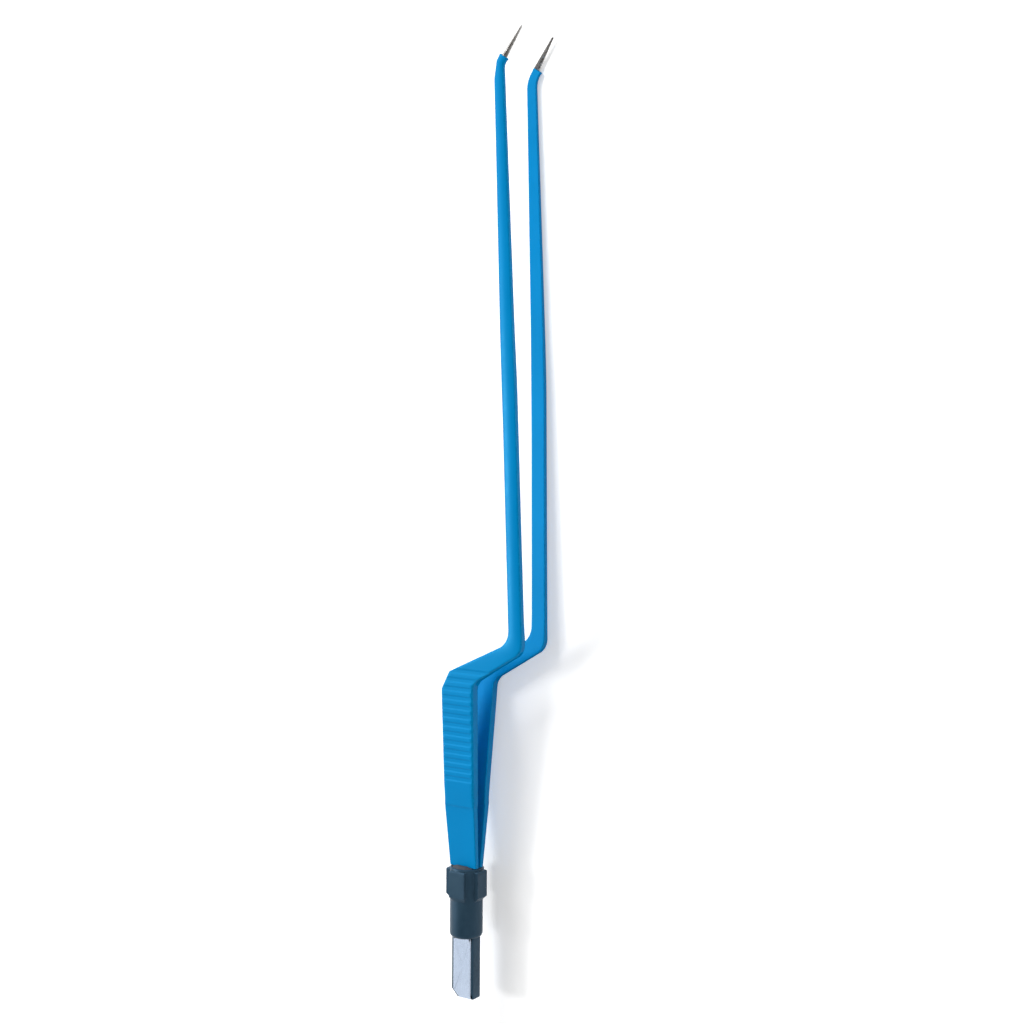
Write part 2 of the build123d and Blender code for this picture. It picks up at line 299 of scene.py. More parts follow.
def bar_section(across, corner, under):
    """Closed loop of (a, lift, edge): a is the place across in half widths, lift the depth
    below the outer face (positive) or above the inner face (negative), edge marks roundings.

    Each corner is a quarter circle: in by r (1 - cos f), down by r (1 - sin f).
    """
    turn = np.linspace(0, math.pi / 2, 8)
    top = np.linspace(-1, 1, 15)
    bottom = np.linspace(1, -1, 11)
    rows = len(across)
    reach = lambda radius: radius[:, None] / across[:, None]
    out_a = 1 - reach(corner) * (1 - np.cos(turn))
    out_d = corner[:, None] * (1 - np.sin(turn))
    in_a = 1 - reach(under) * (1 - np.cos(turn))
    in_d = under[:, None] * (1 - np.sin(turn))
    top_a = top * (1 - reach(corner))
    bottom_a = bottom * (1 - reach(under))
    flat_t, flat_b = np.zeros((rows, len(top))), np.zeros((rows, len(bottom)))
    edge = np.broadcast_to(np.sin(2 * turn), out_a.shape)
    a = np.concatenate([top_a, out_a[:, ::-1][:, 1:], in_a, bottom_a[:, 1:],
                        -in_a[:, ::-1][:, 1:], -out_a[:, :-1]], 1)
    depth = np.concatenate([flat_t, out_d[:, ::-1][:, 1:], -1 - in_d, flat_b[:, 1:] - 1,
                            -1 - in_d[:, ::-1][:, 1:], out_d[:, :-1]], 1)
    marks = np.concatenate([flat_t, edge[:, ::-1][:, 1:], edge, flat_b[:, 1:],
                            edge[:, ::-1][:, 1:], edge[:, :-1]], 1)
    return a, depth, marks


def blade_surface(plan, inset):
    """Upper blade between the seal and the coat's cut, inset evenly from the coat's outside."""
    left_plan, right_plan = plan
    half = (right_plan - left_plan) / 2
    middle = (right_plan + left_plan) / 2
    across = np.hypot(*half.T)
    half = half * ((across - inset) / across)[:, None]
    across = across - inset
    x_mid = middle[:, 0]
    shaft = smooth(x_mid, HEEL_END, ARM_START)
    grip = smooth(x_mid, CREASE_X - 1, CREASE_X + 2) * (1 - shaft)
    corner = BAR_ROUNDING + GRIP_EXTRA * grip + SHAFT_EXTRA * shaft
    under = BAR_ROUNDING - SHAFT_UNDER_LESS * shaft
    a, depth, marks = bar_section(across, corner, under)
    xy = middle[:, None, :] + a[..., None] * half[:, None, :]
    x = xy[..., 0]
    top, bottom = outer_height(x) - inset, inner_height(x) + inset
    crown = CROWN * a ** 2 * shaft[:, None]
    z = np.where(depth > -0.5, top - depth - crown, bottom + (-1 - depth))
    z = np.where(depth > -0.5, np.minimum(z, top - groove_cut(x)), z)
    return np.concatenate([xy, z[..., None]], -1), marks


# %% [markdown]
# ## The coat's ends and the two coats
#
# The coat is a thin sleeve. At the front it is cut square and shows its own thickness around
# the bare steel, and one corner of the rim stands out a little. So the surface turns in at the
# cut and runs back inside for a short way. The lower coat is made in the same way from its own
# outline and mirrored through the middle plane, with its loops turned round so that it still
# faces outwards.

# %% Build the coats
RIM_DEPTH = 1.2
FLARE_RUN = 0.9
FLARE_EVEN, FLARE_CORNER, FLARE_RIPPLE = 0.05, 0.09, 0.012


def flared(grid):
    """Pushes the coat's end outwards from its middle, in plan only, by an uneven share.

    The share is even, plus a corner of cosine squared, plus a ripple of five waves.
    """
    centre = grid.mean(1, keepdims=True)
    run = np.linalg.norm(centre[:, 0] - centre[-1, 0], axis=1)
    turn = np.linspace(0, 2 * math.pi, grid.shape[1], endpoint=False)
    corner = np.clip(np.cos(turn - 2.0), 0, 1) ** 2
    uneven = FLARE_EVEN + FLARE_CORNER * corner + FLARE_RIPPLE * np.sin(5 * turn)
    share = (1 - smooth(run, 0, FLARE_RUN))[:, None] * uneven[None, :]
    return centre + (grid - centre) * (1 + share[..., None] * np.array([1, 1, 0]))


def coat_sleeve(plan):
    """Outside of the coat, its rim and a short way back inside, with the edge marks."""
    outside, edge = blade_surface(plan, 0)
    core = blade_surface(plan, COAT)[0][-1]
    body = flared(outside)
    ahead = np.array([*TIP_AHEAD, 0])
    rim_inner = body[-1].mean(0) + (core - core.mean(0)) * 1.04
    rim_mid = (body[-1] * 0.3 + rim_inner * 0.7) + ahead * 0.03
    sleeve = rim_inner - ahead * RIM_DEPTH
    rows = np.concatenate([body, rim_mid[None], rim_inner[None], sleeve[None]])
    return rows, np.concatenate([edge, np.ones((3, edge.shape[1]))])


def mirrored(grid):
    """The same closed loops below the middle plane, turned round to keep facing outwards."""
    return grid[:, ::-1] * np.array([1, 1, -1])


coat_rows, coat_marks = coat_sleeve(upper_plan)
coat_upper = make_piece("coat_upper_skin", [coat_rows], [coat_marks])
coat_rows, coat_marks = coat_sleeve(lower_plan)
coat_lower = make_piece("coat_lower_skin", [mirrored(coat_rows)], [coat_marks[:, ::-1]])

# %% [markdown]
# ## The bare tips
#
# Each tip is ground to a long needle: a bar with broad bevels that narrows to a rounded point.
# The bevels matter, because ground steel shows a bright or dark stripe for each of them. A loop
# of eight corners, each corner a short arc, is carried along the tip and scaled by a taper that
# closes over the end. Corners are given from -1 to 1 across the tip and up, so one list serves
# every width. The tang is the flat foot of the same blade, seen where it leaves the seal.

# %% Tips with their tangs
TIP_END = np.array([249.88, -20.55])
TIP_BASE_Z, TIP_END_Z = 7.55, 7.12
TIP_INSIDE, POINT_RUN = 1.1, 0.5
TIP_WIDTH, POINT_WIDTH, TIP_HOLLOW = 1.78, 0.5, 0.92
TIP_HEIGHT, POINT_HEIGHT = 0.98, 0.46
TANG_FOOT, SHOULDER_START, SHOULDER_END, TANG_END = 28.3, 35.3, 36.1, 37.4
TANG_WIDTH, SHOULDER_WIDTH, HALF_TANG, TANG_LIFT = 6.2, 7.9, 0.45, 0.55
TIP_FACETS = [(-0.82, 0.55), (-0.12, 1.0), (0.7, 0.3), (1.0, -0.12), (0.74, -0.5),
              (-0.8, -1.0), (-1.0, -0.75), (-1.0, 0.15)]
TANG_FACETS = [(-0.75, 1), (0.75, 1), (1, 0.75), (1, -0.75), (0.75, -1), (-0.75, -1), (-1, -0.75),
               (-1, 0.75)]


def soft_loop(corners, soft=0.16, steps=4):
    """Loop of straight facets joined by small arcs, as (across, up) columns.

    A corner C is replaced by points on the quadratic curve (1-s)^2 A + 2 s (1-s) C + s^2 B
    between its cut-back ends A and B.
    """
    corners = np.array(corners, float)
    before, after = np.roll(corners, 1, 0), np.roll(corners, -1, 0)
    a = corners + (before - corners) * soft
    b = corners + (after - corners) * soft
    s = np.linspace(0, 1, steps)[None, :, None]
    curve = (1 - s) ** 2 * a[:, None] + 2 * s * (1 - s) * corners[:, None] + s ** 2 * b[:, None]
    return curve.reshape(-1, 2)


def tip_surface():
    """Ground tip from inside the coat to the point, as loops square to its own line.

    The last POINT_RUN is closed like a ball: by the root of 1 less the square of the way into it.
    """
    base = np.array([*COAT_CUT, TIP_BASE_Z])
    end = np.array([*TIP_END, TIP_END_Z])
    length = np.linalg.norm(end - base)
    along = (end - base) / length
    sideways = np.cross([0, 0, 1], along)
    sideways /= np.linalg.norm(sideways)
    up = np.cross(along, sideways)
    run = np.concatenate([np.linspace(-TIP_INSIDE, 0, 4), np.linspace(0.1, length - POINT_RUN, 70),
                          length - POINT_RUN * (1 - np.sin(np.linspace(0.1, math.pi / 2, 9)))])
    share = np.clip(run / length, 0, 1)
    width = TIP_WIDTH + (POINT_WIDTH - TIP_WIDTH) * share ** TIP_HOLLOW
    height = TIP_HEIGHT + (POINT_HEIGHT - TIP_HEIGHT) * share
    into_point = ((run - length + POINT_RUN) / POINT_RUN).clip(0, 0.985)
    close = np.sqrt(np.clip(1 - into_point ** 2, 0, 1))
    loop = soft_loop(TIP_FACETS)
    a = loop[None, :, 0] / 2 * (width * close)[:, None]
    b = loop[None, :, 1] / 2 * (height * close)[:, None]
    spine = base + along * run[:, None]
    grid = spine[:, None] - a[..., None] * sideways + b[..., None] * up
    # 1 in the middle of each arc between facets; the steel finish paints a dark reflection there.
    facet = np.abs(np.sin(np.linspace(0, 8 * math.pi, loop.shape[0], endpoint=False)))
    return grid, np.broadcast_to(facet, grid.shape[:2]).copy()


def tang_surface():
    """Flat tang from its foot in the seal to under the coat, widening at the shoulders."""
    x = np.concatenate([np.linspace(TANG_FOOT, SHOULDER_START - 0.1, 12),
                        np.linspace(SHOULDER_START, TANG_END, 12)])
    share = smooth(x, SHOULDER_START, SHOULDER_END)
    width = TANG_WIDTH + (SHOULDER_WIDTH - TANG_WIDTH) * share
    rise = (inner_height(x) + COAT) * share + TANG_LIFT * (1 - share)
    loop = soft_loop(TANG_FACETS)
    y = -loop[None, :, 0] / 2 * width[:, None]
    z = rise[:, None] + HALF_TANG + loop[None, :, 1] * HALF_TANG
    return np.stack([np.broadcast_to(x[:, None], y.shape), y, z], -1)


tip_grid, tip_edge = tip_surface()
tang_grid = tang_surface()
no_edge = np.zeros(tang_grid.shape[:2])
steel_upper = make_piece("steel_upper", [tip_grid, tang_grid], [tip_edge, no_edge], sharp=24)
steel_lower = make_piece("steel_lower", [mirrored(tip_grid), mirrored(tang_grid)],
                         [tip_edge[:, ::-1], no_edge], sharp=24)

# %% [markdown]
# ## The plug's moulding
#
# Barrel and collar are one turned-looking moulding with four flat lugs. Its loops are drawn
# round the axis: a circle that swells into a lug wherever the lug's flat stands further out.
# The swelling is faded in by a ramp at the foot of the lugs and taken back a little by the bevel
# at the top. The flat core in front is a bar of its own with one cut corner.

# %% Barrel and collar
BARREL_RADIUS, BARREL_START, COLLAR_TOP, LUG_TOP = 4.36, 16.3, 35.0, 34.35
BARREL_ROUNDING, BARREL_ROWS = 1.1, 12
WELL_RADIUS, WELL_FLOOR = 3.8, 33.0
LUG_START, LUG_RAMP, LUG_BEVEL = 26.3, 1.1, 0.45
LUG_HALF = {0: 2.15, 1: 2.45}
LUG_REACH = {0: 5.15, 1: 4.6}


def lug_loop():
    """Outline of the collar as (y, z), with a point-by-point partner on the plain barrel.

    For a lug of half width h and reach R the outline is: barrel arc, wall at distance h from
    the lug's middle line, flat at R, wall, and on to the next lug. Each point is then averaged
    once with its two neighbours, which takes the sharpness off the corners.
    """
    outline = []
    for quarter in range(4):
        kind = quarter % 2
        half, reach = LUG_HALF[kind], LUG_REACH[kind]
        foot = math.sqrt(BARREL_RADIUS ** 2 - half ** 2)
        next_half = LUG_HALF[1 - kind]
        wall = np.linspace(foot, reach, 14)
        flat = np.linspace(-half, half, 34)
        first = math.atan2(half, foot)
        last = math.pi / 2 - math.asin(next_half / BARREL_RADIUS)
        arc = np.linspace(first, last, 16)[1:-1]
        out = np.concatenate([wall[:-1], np.full(34, reach), wall[::-1][1:],
                              BARREL_RADIUS * np.cos(arc)])
        aside = np.concatenate([np.full(13, -half), flat, np.full(13, half),
                                BARREL_RADIUS * np.sin(arc)])
        turn = quarter * math.pi / 2
        outline.append(np.stack([out * math.cos(turn) - aside * math.sin(turn),
                                 out * math.sin(turn) + aside * math.cos(turn)], -1))
    outline = np.concatenate(outline)
    outline = (np.roll(outline, 1, 0) + 2 * outline + np.roll(outline, -1, 0)) / 4
    angle = np.arctan2(outline[:, 1], outline[:, 0])
    circle = BARREL_RADIUS * np.stack([np.cos(angle), np.sin(angle)], -1)
    return outline, circle


def plug_shell():
    """Loops from the barrel's round mouth along the collar and back into the open well."""
    outline, circle = lug_loop()
    f = np.linspace(0, math.pi / 2, BARREL_ROWS)[::-1]
    x_bottom = BARREL_START + BARREL_ROUNDING * (1 - np.sin(f))
    scale_bottom = (BARREL_RADIUS - BARREL_ROUNDING * (1 - np.cos(f))) / BARREL_RADIUS
    x_body = np.concatenate([np.linspace(BARREL_START + BARREL_ROUNDING, LUG_START - 0.2, 14)[1:],
                             np.linspace(LUG_START - 0.15, LUG_START + LUG_RAMP + 0.3, 22),
                             np.linspace(LUG_START + LUG_RAMP + 0.5, LUG_TOP - LUG_BEVEL, 10)])
    f = np.linspace(0, math.pi / 2, 8)[1:]
    x_top = LUG_TOP - LUG_BEVEL * (1 - np.sin(f))
    x_rim = np.array([LUG_TOP, LUG_TOP + 0.02, COLLAR_TOP - 0.2, COLLAR_TOP - 0.06, COLLAR_TOP])
    ramp = np.clip((x_body - LUG_START) / LUG_RAMP, 0, 1)
    swell = np.concatenate([np.zeros(BARREL_ROWS), ramp, 1 - 0.6 * (1 - np.cos(f)),
                            [0.05, 0, 0, 0, 0]])
    x = np.concatenate([x_bottom, x_body, x_top, x_rim])
    scale = np.concatenate([scale_bottom, np.ones(len(x_body) + 10), [0.985, 0.955]])
    edge = np.concatenate([np.linspace(1, 0, BARREL_ROWS), 0 * x_body, np.sin(f),
                           [0, 0, 0.3, 0.8, 1]])
    yz = circle + (outline - circle) * swell[:, None, None]
    yz = yz * scale[:, None, None]
    angle = np.arctan2(circle[:, 1], circle[:, 0])
    ring = np.stack([np.cos(angle), np.sin(angle)], -1)
    well_x = np.array([COLLAR_TOP, COLLAR_TOP - 0.15, WELL_FLOOR])
    well_r = np.array([WELL_RADIUS + 0.15, WELL_RADIUS, WELL_RADIUS])
    well = ring[None] * well_r[:, None, None]
    mouth = ring[None] * np.array([2.2, 3.0])[:, None, None]
    x = np.concatenate([[BARREL_START] * 2, x, well_x])
    yz = np.concatenate([mouth, yz, well])
    edge = np.concatenate([[0, 0], edge, [1, 0.5, 0]])
    grid = np.concatenate([np.broadcast_to(x[:, None, None], (*yz.shape[:2], 1)), yz], -1)
    bent = np.linalg.norm(np.roll(outline, 1, 0) - 2 * outline + np.roll(outline, -1, 0), axis=1)
    around = np.clip(bent / bent.max() * 1.6, 0, 1)
    on_lugs = around[None] * np.concatenate([[0, 0], swell, [0, 0, 0]])[:, None]
    return grid, np.maximum(edge[:, None], on_lugs)


shell_grid, shell_edge = plug_shell()
print("plug shell:", shell_grid.shape)

# %% [markdown]
# ## Flat slabs with soft edges
#
# The core and the two contact strips are flat slabs with a cut corner. A slab is its plan
# outline, drawn once as a loop, and stacked in rows from below to above. Each row moves the
# loop inwards by the amount that the rounded edge asks for at that height.

# %% Slab helper, core and contacts
CORE_WIDTH, CORE_HEIGHT = 6.95, 3.45
CONTACT_WIDTH, CONTACT_THICKNESS, CONTACT_PROUD = 5.6, 0.8, 0.2
KEY = 1.9
DIP, DIP_RUN = 0.16, 0.7


def plan_loop(corners, gap=0.12):
    """Evenly spaced points along a closed polygon given anticlockwise from above."""
    corners = np.array(corners, float)
    closed = np.concatenate([corners, corners[:1]])
    run = np.append(0, np.cumsum(np.hypot(*np.diff(closed, axis=0).T)))
    even = np.linspace(0, run[-1], int(run[-1] / gap), endpoint=False)
    even = np.sort(np.concatenate([even, run[:-1]]))
    even = even[np.append(True, np.diff(even) > 1e-6)]
    return np.stack([np.interp(even, run, closed[:, 0]), np.interp(even, run, closed[:, 1])], -1)


def slab(loop, low, high, radius):
    """Rows of a loop from low to high; near each face a row is inset by r (1 - cos f).

    The loop is first softened twice by its neighbours. The inset moves each point square to the
    line between its two neighbours.
    """
    for _ in range(2):
        loop = (np.roll(loop, 1, 0) + 2 * loop + np.roll(loop, -1, 0)) / 4
    along = np.roll(loop, -1, 0) - np.roll(loop, 1, 0)
    along /= np.linalg.norm(along, axis=1, keepdims=True)
    inward = np.stack([-along[:, 1], along[:, 0]], -1)
    f = np.linspace(0, math.pi / 2, 7)
    inset = np.concatenate([[radius + 0.5, radius + 0.12], radius * (1 - np.cos(f))[::-1]])
    height = np.concatenate([[low, low], low + radius * (1 - np.sin(f))[::-1]])
    inset = np.concatenate([inset, inset[::-1]])
    height = np.concatenate([height, (low + high) - height[::-1]])
    xy = loop[None] + inward[None] * inset[:, None, None]
    z = np.broadcast_to(height[:, None, None], (*xy.shape[:2], 1))
    marks = np.clip(1 - np.abs(inset - radius * 0.3) / radius, 0, 1)
    return np.concatenate([xy, z], -1), np.broadcast_to(marks[:, None], xy.shape[:2]).copy()


def keyed_plan(start, end, width, key):
    """Rectangle in plan with the far corner at its start cut off at 45 degrees."""
    half = width / 2
    return [(start, -half), (end, -half), (end, half), (start + key, half), (start, half - key)]


core_grid, core_edge = slab(
    plan_loop(keyed_plan(0, BARREL_START + 1, CORE_WIDTH, KEY)), -CORE_HEIGHT / 2, CORE_HEIGHT / 2, 0.3)
contact_base = CORE_HEIGHT / 2 + CONTACT_PROUD - CONTACT_THICKNESS
contact_grid, contact_edge = slab(
    plan_loop(keyed_plan(0.02, BARREL_START - 0.05, CONTACT_WIDTH, KEY)),
    contact_base, CORE_HEIGHT / 2 + CONTACT_PROUD, 0.12)


def dipped(grid):
    """Bevels the leading end of a contact: its top falls by DIP towards the end over DIP_RUN."""
    dip = DIP * (1 - smooth(grid[..., 0], 0, DIP_RUN)) * (grid[..., 2] > CORE_HEIGHT / 2 + 0.05)
    out = grid.copy()
    out[..., 2] -= dip
    return out


plug_moulding = make_piece("plug_moulding", [shell_grid, core_grid], [shell_edge, core_edge])
contact_upper = make_piece("contact_upper_strip", [dipped(contact_grid)], [contact_edge])
contact_lower = make_piece("contact_lower_strip", [mirrored(dipped(contact_grid))],
                           [contact_edge[:, ::-1]])

# %% [markdown]
# ## Hanging the pieces on the bodies
#
# Each piece rides on the body that carries it and stands for the plain solid of the same place.
# The seal keeps its solid, because nothing about its shape needs more.

# %% Ride and replace
for piece, body, node, slot in [
    (coat_upper, "upper", "coat_upper", "coat"), (coat_lower, "lower", "coat_lower", "coat"),
    (steel_upper, "upper", "blade_upper", "steel"), (steel_lower, "lower", "blade_lower", "steel"),
    (plug_moulding, "plug", "plug_body", "plug"),
    (contact_upper, "plug", "contact_upper", "contact"),
    (contact_lower, "plug", "contact_lower", "contact"),
]:
    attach(piece, body)
    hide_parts(node)

# %% [markdown]
# ## Tools for finishes
#
# A material is a small network of nodes. Two short helpers keep each network readable: one adds
# a node with its settings, the other joins two sockets. Effects that several finishes share are
# node groups with named inputs and outputs.

# %% Node helpers
def add(tree, kind, **settings):
    """New node; a setting is either a property of the node or the default of a socket."""
    new = tree.nodes.new(kind)
    for key, value in settings.items():
        if hasattr(new, key):
            setattr(new, key, value)
        else:
            new.inputs[key.replace("_", " ")].default_value = value
    return new


def join(tree, start, output, end, entry):
    tree.links.new(start.outputs[output], end.inputs[entry])


def new_group(name, inputs, outputs):
    """Empty node group with float inputs (name: default) and float outputs, and its two ends."""
    tree = bpy.data.node_groups.new(name, "ShaderNodeTree")
    for label, value in inputs.items():
        tree.interface.new_socket(label, in_out="INPUT", socket_type="NodeSocketFloat").default_value = value
    for label in outputs:
        tree.interface.new_socket(label, in_out="OUTPUT", socket_type="NodeSocketFloat")
    return tree, tree.nodes.new("NodeGroupInput"), tree.nodes.new("NodeGroupOutput")


def place_group(tree, group, **values):
    """A use of a node group in a material, with its own values."""
    new = add(tree, "ShaderNodeGroup", node_tree=group)
    for key, value in values.items():
        new.inputs[key].default_value = value
    return new


# %% [markdown]
# ## Mottle
#
# No dipped or moulded surface is even. Two noises of different grain, one soft and one fine, are
# mixed. The result stays around 0.5 and is used for small changes of colour, gloss and height.

# %% Mottle group
def mottle_group():
    tree, start, end = new_group("mottle", {"Scale": 400.0, "Fine": 0.4}, ["Value"])
    place = add(tree, "ShaderNodeTexCoord")
    soft = add(tree, "ShaderNodeTexNoise", Detail=2.0)
    ratio = add(tree, "ShaderNodeMath", operation="MULTIPLY")
    ratio.inputs[1].default_value = 4.7
    fine = add(tree, "ShaderNodeTexNoise", Detail=3.0)
    blend = add(tree, "ShaderNodeMix")
    join(tree, place, "Object", soft, "Vector")
    join(tree, place, "Object", fine, "Vector")
    join(tree, start, "Scale", soft, "Scale")
    tree.links.new(start.outputs["Scale"], ratio.inputs[0])
    join(tree, ratio, 0, fine, "Scale")
    join(tree, start, "Fine", blend, 0)
    join(tree, soft, "Fac", blend, 2)
    join(tree, fine, "Fac", blend, 3)
    join(tree, blend, 0, end, "Value")
    return tree


MOTTLE = mottle_group()

# %% [markdown]
# ## Edge colour
#
# The attribute "edge" on each mesh is 1 along the roundings. Multiplying it by a patchy noise breaks the
# line, so that it doesn't look drawn. The coat, the plug and the contacts are made paler there. The steel
# tips get a painted dark reflection along their facet edges.

# %% Edge mask group
def edge_mask_group():
    tree, start, end = new_group("edge_mask", {"Scale": 900.0, "Amount": 1.0}, ["Mask"])
    place = add(tree, "ShaderNodeTexCoord")
    mark = add(tree, "ShaderNodeAttribute", attribute_name="edge")
    patches = add(tree, "ShaderNodeTexNoise", Detail=3.0)
    spread = add(tree, "ShaderNodeMapRange", From_Min=0.35, From_Max=0.7)
    both = add(tree, "ShaderNodeMath", operation="MULTIPLY")
    scaled = add(tree, "ShaderNodeMath", operation="MULTIPLY", use_clamp=True)
    join(tree, place, "Object", patches, "Vector")
    join(tree, start, "Scale", patches, "Scale")
    join(tree, patches, "Fac", spread, "Value")
    join(tree, mark, "Fac", both, 0)
    join(tree, spread, "Result", both, 1)
    join(tree, both, 0, scaled, 0)
    join(tree, start, "Amount", scaled, 1)
    join(tree, scaled, 0, end, "Mask")
    return tree


EDGE_MASK = edge_mask_group()

# %% [markdown]
# ## Brushing
#
# Ground steel and stamped contacts carry fine lines in one direction. A noise that is read
# from coordinates stretched 30 times across the lines gives them. The turn brings the lines in
# line with the tip or across the contact.

# %% Brushing group
def brushed_group():
    tree, start, end = new_group("brushing", {"Scale": 160.0, "Stretch": 30.0, "Turn": 0.0}, ["Value"])
    place = add(tree, "ShaderNodeTexCoord")
    spin = add(tree, "ShaderNodeVectorRotate", rotation_type="Z_AXIS")
    split = add(tree, "ShaderNodeSeparateXYZ")
    wide = add(tree, "ShaderNodeMath", operation="MULTIPLY")
    high = add(tree, "ShaderNodeMath", operation="MULTIPLY")
    again = add(tree, "ShaderNodeCombineXYZ")
    lines = add(tree, "ShaderNodeTexNoise", Detail=4.0)
    join(tree, place, "Object", spin, "Vector")
    join(tree, start, "Turn", spin, "Angle")
    join(tree, spin, "Vector", split, "Vector")
    for part, axis in ((wide, "Y"), (high, "Z")):
        join(tree, split, axis, part, 0)
        join(tree, start, "Stretch", part, 1)
        join(tree, part, 0, again, axis)
    join(tree, split, "X", again, "X")
    join(tree, again, "Vector", lines, "Vector")
    join(tree, start, "Scale", lines, "Scale")
    join(tree, lines, "Fac", end, "Value")
    return tree


BRUSHED = brushed_group()

# %% [markdown]
# ## Frame for every finish
#
# All finishes start from the same parts: a shader, a bump and the output. Base colour, gloss and
# height are then fed by the groups. Colours are linear values of what the surface is, without
# the light on it, apart from the dark edges of the steel tips, which are painted reflection.

# %% Base of a finish
def new_finish(name, bump_strength, bump_depth, **shader_values):
    """Material with its shader and bump already joined; returns (material, tree, shader, bump)."""
    material = bpy.data.materials.new(name)
    material.use_nodes = True
    tree = material.node_tree
    tree.nodes.clear()
    shader = tree.nodes.new("ShaderNodeBsdfPrincipled")
    for key, value in shader_values.items():
        shader.inputs[key.replace("_", " ")].default_value = value
    bump = add(tree, "ShaderNodeBump", Strength=bump_strength, Distance=bump_depth)
    output = add(tree, "ShaderNodeOutputMaterial")
    join(tree, bump, "Normal", shader, "Normal")
    join(tree, shader, "BSDF", output, "Surface")
    return material, tree, shader, bump


def ramp_colour(tree, source, output, low, high, colours):
    """Colour that goes through the given colours as a value goes from low to high."""
    ramp = add(tree, "ShaderNodeValToRGB")
    marks = np.linspace(low, high, len(colours))
    while len(ramp.color_ramp.elements) < len(colours):
        ramp.color_ramp.elements.new(0.5)
    for element, mark, colour in zip(ramp.color_ramp.elements, marks, colours):
        element.position, element.color = float(mark), (*colour, 1.0)
    join(tree, source, output, ramp, "Fac")
    return ramp


def ranged(tree, source, output, low, high, start, end):
    """Value mapped from (low, high) to (start, end)."""
    mapped = add(tree, "ShaderNodeMapRange", From_Min=low, From_Max=high, To_Min=start, To_Max=end)
    join(tree, source, output, mapped, "Value")
    return mapped


def mix_colour(tree, mask, output, first, first_out, colour):
    """The first colour, replaced by a fixed one where the mask is 1."""
    mixed = add(tree, "ShaderNodeMix", data_type="RGBA")
    join(tree, mask, output, mixed, 0)
    tree.links.new(first.outputs[first_out], mixed.inputs[6])
    mixed.inputs[7].default_value = (*colour, 1.0)
    return mixed


# %% [markdown]
# ## Blue coat
#
# The insulation is taken to be a thin nylon skin: satin, with a soft ripple. It is a little paler
# on the edges. Its shine is taken back at a slanting view, where the shader alone put a greyish
# line along the arm.

# %% Coat finish
def coat_finish():
    material, tree, shader, bump = new_finish(
        "blue nylon coat", 0.12, 0.00012, Specular_Tint=(0.0, 0.62, 1.0, 1.0))
    mottle = place_group(tree, MOTTLE, Scale=260.0, Fine=0.45)
    cloud = place_group(tree, MOTTLE, Scale=45.0, Fine=0.2)
    along_edges = place_group(tree, EDGE_MASK, Scale=1500.0, Amount=0.55)
    blue = ramp_colour(tree, cloud, "Value", 0.3, 0.7,
                       [(0.0, 0.224, 0.54), (0.0, 0.238, 0.57), (0.0, 0.252, 0.60)])
    edge_coloured = mix_colour(tree, along_edges, "Mask", blue, "Color", (0.01, 0.38, 0.74))
    tree.links.new(edge_coloured.outputs[2], shader.inputs["Base Color"])
    gloss = ranged(tree, mottle, "Value", 0.3, 0.7, 0.34, 0.46)
    join(tree, gloss, "Result", shader, "Roughness")
    slant = add(tree, "ShaderNodeLayerWeight", Blend=0.5)
    shine = ranged(tree, slant, "Facing", 0.28, 0.6, 0.42, 0.0)
    join(tree, shine, "Result", shader, "Specular IOR Level")
    join(tree, mottle, "Value", bump, "Height")
    return material


# %% [markdown]
# ## Ground steel
#
# The bare tips are steel, ground lengthwise. Each facet keeps its fine lines, which spread the
# reflection, and a few patches are duller. The edges between the facets are painted dark, a
# painted reflection of the dark stripes that the ground facets mirror.

# %% Steel finish
def steel_finish():
    material, tree, shader, bump = new_finish("ground steel", 0.25, 0.00003)
    lines = place_group(tree, BRUSHED, Scale=700.0, Stretch=22.0, Turn=TIP_TURN)
    cloud = place_group(tree, MOTTLE, Scale=300.0, Fine=0.35)
    along_edges = place_group(tree, EDGE_MASK, Scale=1800.0, Amount=1.5)
    grey = ramp_colour(tree, lines, "Value", 0.3, 0.7,
                       [(0.47, 0.465, 0.45), (0.60, 0.595, 0.58), (0.70, 0.695, 0.685)])
    # Painted reflection: the grey turns dark brown along the facet edges.
    edge_coloured = mix_colour(tree, along_edges, "Mask", grey, "Color", (0.12, 0.095, 0.08))
    tree.links.new(edge_coloured.outputs[2], shader.inputs["Base Color"])
    metal = ranged(tree, cloud, "Value", 0.2, 0.8, 0.96, 1.0)
    join(tree, metal, "Result", shader, "Metallic")
    gloss = ranged(tree, cloud, "Value", 0.3, 0.7, 0.2, 0.34)
    join(tree, gloss, "Result", shader, "Roughness")
    join(tree, lines, "Value", bump, "Height")
    return material


# %% [markdown]
# ## Plug moulding
#
# A dark slate plastic with a satin skin and a very fine texture. Its corners are a little paler.

# %% Plug finish
def plug_finish():
    material, tree, shader, bump = new_finish("slate plastic", 0.3, 0.00008, Specular_IOR_Level=0.35,
                                              Specular_Tint=(0.35, 0.65, 1.0, 1.0))
    grain = place_group(tree, MOTTLE, Scale=1400.0, Fine=0.5)
    cloud = place_group(tree, MOTTLE, Scale=110.0, Fine=0.25)
    along_edges = place_group(tree, EDGE_MASK, Scale=1100.0, Amount=0.6)
    slate = ramp_colour(tree, cloud, "Value", 0.3, 0.7,
                        [(0.018, 0.044, 0.070), (0.023, 0.053, 0.083), (0.029, 0.063, 0.096)])
    edge_coloured = mix_colour(tree, along_edges, "Mask", slate, "Color", (0.045, 0.09, 0.135))
    tree.links.new(edge_coloured.outputs[2], shader.inputs["Base Color"])
    gloss = ranged(tree, cloud, "Value", 0.3, 0.7, 0.34, 0.48)
    join(tree, gloss, "Result", shader, "Roughness")
    join(tree, grain, "Value", bump, "Height")
    return material


# %% [markdown]
# ## Contact strips
#
# The strips are pale plated metal. A socket rubs them each time the plug goes in, so their lines
# run along the plug.

